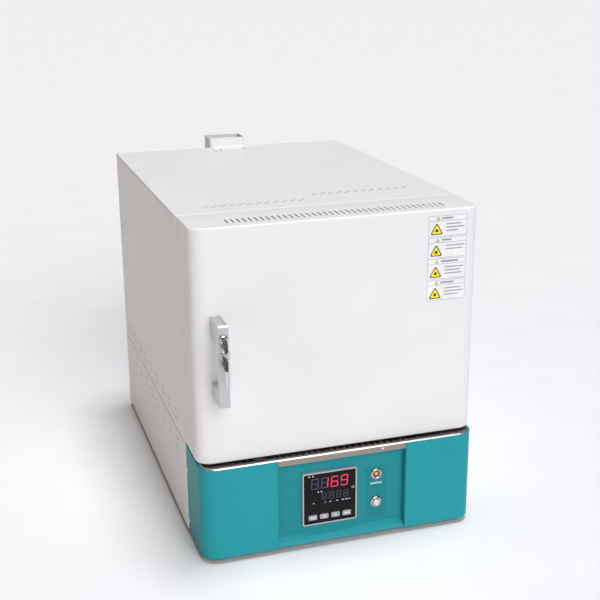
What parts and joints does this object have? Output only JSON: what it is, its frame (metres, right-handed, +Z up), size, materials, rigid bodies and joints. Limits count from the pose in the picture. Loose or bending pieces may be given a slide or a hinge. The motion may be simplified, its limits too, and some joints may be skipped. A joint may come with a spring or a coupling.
{
  "type": "bench-top box resistance furnace",
  "caption": "Bench-top box furnace with a side-hung insulated door, keyed bar handle, recessed temperature controller in the base, vented panels and a rear flue duct.",
  "frame": {"origin": "centre of the bounding box's bottom face, on the surface that the feet stand on", "axes": "+Z up, +X to the right of a person facing the door, +Y from the door to the rear, so the front faces -Y"},
  "size_m": [0.4914, 0.8192, 0.578],
  "materials": {
    "white_paint": "satin",
    "teal_paint": "satin",
    "stainless": "satin",
    "zinc": "satin",
    "aluminium": "satin",
    "chrome": "polished",
    "ceramic_fibre": "matte",
    "refractory": "matte",
    "ceramic": "matte",
    "resistance_wire": "matte",
    "rubber": "matte",
    "black_plastic": "satin",
    "display_face": "satin",
    "silver_plastic": "satin",
    "key_plastic": "satin",
    "alarm_lens": "gloss",
    "button_lens": "gloss"
  },
  "bodies": {
    "cabinet": {"side_panel_lower_left": "white_paint", "side_panel_lower_right": "white_paint", "side_panel_upper_left": "white_paint", "side_panel_upper_right": "white_paint", "top_cover": "white_paint", "rear_panel": "white_paint", "flue_duct": "white_paint", "front_frame": "white_paint", "fascia_wing_left": "teal_paint", "fascia_wing_right": "teal_paint", "control_panel": "teal_paint", "deck_plate": "stainless", "base_pan": "zinc", "partition_plate": "zinc", "lock_keeper": "zinc", "hinge_cabinet_lower": "zinc", "hinge_cabinet_upper": "zinc", "heat_sink": "aluminium", "alarm_bezel": "chrome", "power_button_bezel": "chrome", "insulation_floor": "ceramic_fibre", "insulation_roof": "ceramic_fibre", "insulation_left": "ceramic_fibre", "insulation_right": "ceramic_fibre", "insulation_rear": "ceramic_fibre", "hearth_plate": "refractory", "flue_tube": "ceramic", "thermocouple": "ceramic", "heating_element_left": "resistance_wire", "heating_element_right": "resistance_wire", "foot_front_left": "rubber", "foot_front_right": "rubber", "foot_rear_left": "rubber", "foot_rear_right": "rubber", "door_rest_pad": "rubber", "solid_state_relay": "black_plastic", "terminal_block": "black_plastic", "cable_gland": "black_plastic", "controller_face": "display_face", "controller_case": "silver_plastic", "alarm_lens": "alarm_lens"},
    "door": {"door_shell": "white_paint", "door_inner_plate": "zinc", "door_insulation": "ceramic_fibre", "door_plug": "ceramic_fibre", "door_seal": "ceramic_fibre", "handle": "aluminium", "lock_barrel": "chrome", "hinge_door_lower": "zinc", "hinge_door_upper": "zinc"},
    "lock": {"lock_spindle_and_cam": "chrome", "lock_key": "black_plastic"},
    "key_ring": {"key_ring": "chrome", "spare_key_head": "black_plastic", "spare_key_blade": "chrome"},
    "power_button": {"power_button_cap": "button_lens"},
    "controller_key_set": {"controller_key_set": "key_plastic"},
    "controller_key_down": {"controller_key_down": "key_plastic"},
    "controller_key_up": {"controller_key_up": "key_plastic"},
    "controller_key_enter": {"controller_key_enter": "key_plastic"}
  },
  "joints": [
    {"name": "door_hinge", "type": "hinge", "parent": "cabinet", "child": "door", "pos_m": [0.24125, -0.24165, 0.366], "axis": [0, 0, 1], "range_deg": [0, 105]},
    {"name": "lock_turn", "type": "hinge", "parent": "door", "child": "lock", "pos_m": [-0.20975, -0.39065, 0.4], "axis": [0, 1, 0], "range_deg": [0, 90]},
    {"name": "key_ring_swing", "type": "hinge", "parent": "lock", "child": "key_ring", "pos_m": [-0.20975, -0.40165, 0.386], "axis": [1, 0, 0], "range_deg": [-45, 2]},
    {"name": "power_button_press", "type": "slide", "parent": "cabinet", "child": "power_button", "axis": [0, 1, 0], "range_m": [0, 0.002], "stiffness_N_per_m": 800, "springref_m": -0.001},
    {"name": "controller_key_set_press", "type": "slide", "parent": "cabinet", "child": "controller_key_set", "axis": [0, 1, 0], "range_m": [0, 0.0006], "stiffness_N_per_m": 1500, "springref_m": -0.0003},
    {"name": "controller_key_down_press", "type": "slide", "parent": "cabinet", "child": "controller_key_down", "axis": [0, 1, 0], "range_m": [0, 0.0006], "stiffness_N_per_m": 1500, "springref_m": -0.0003},
    {"name": "controller_key_up_press", "type": "slide", "parent": "cabinet", "child": "controller_key_up", "axis": [0, 1, 0], "range_m": [0, 0.0006], "stiffness_N_per_m": 1500, "springref_m": -0.0003},
    {"name": "controller_key_enter_press", "type": "slide", "parent": "cabinet", "child": "controller_key_enter", "axis": [0, 1, 0], "range_m": [0, 0.0006], "stiffness_N_per_m": 1500, "springref_m": -0.0003}
  ]
}
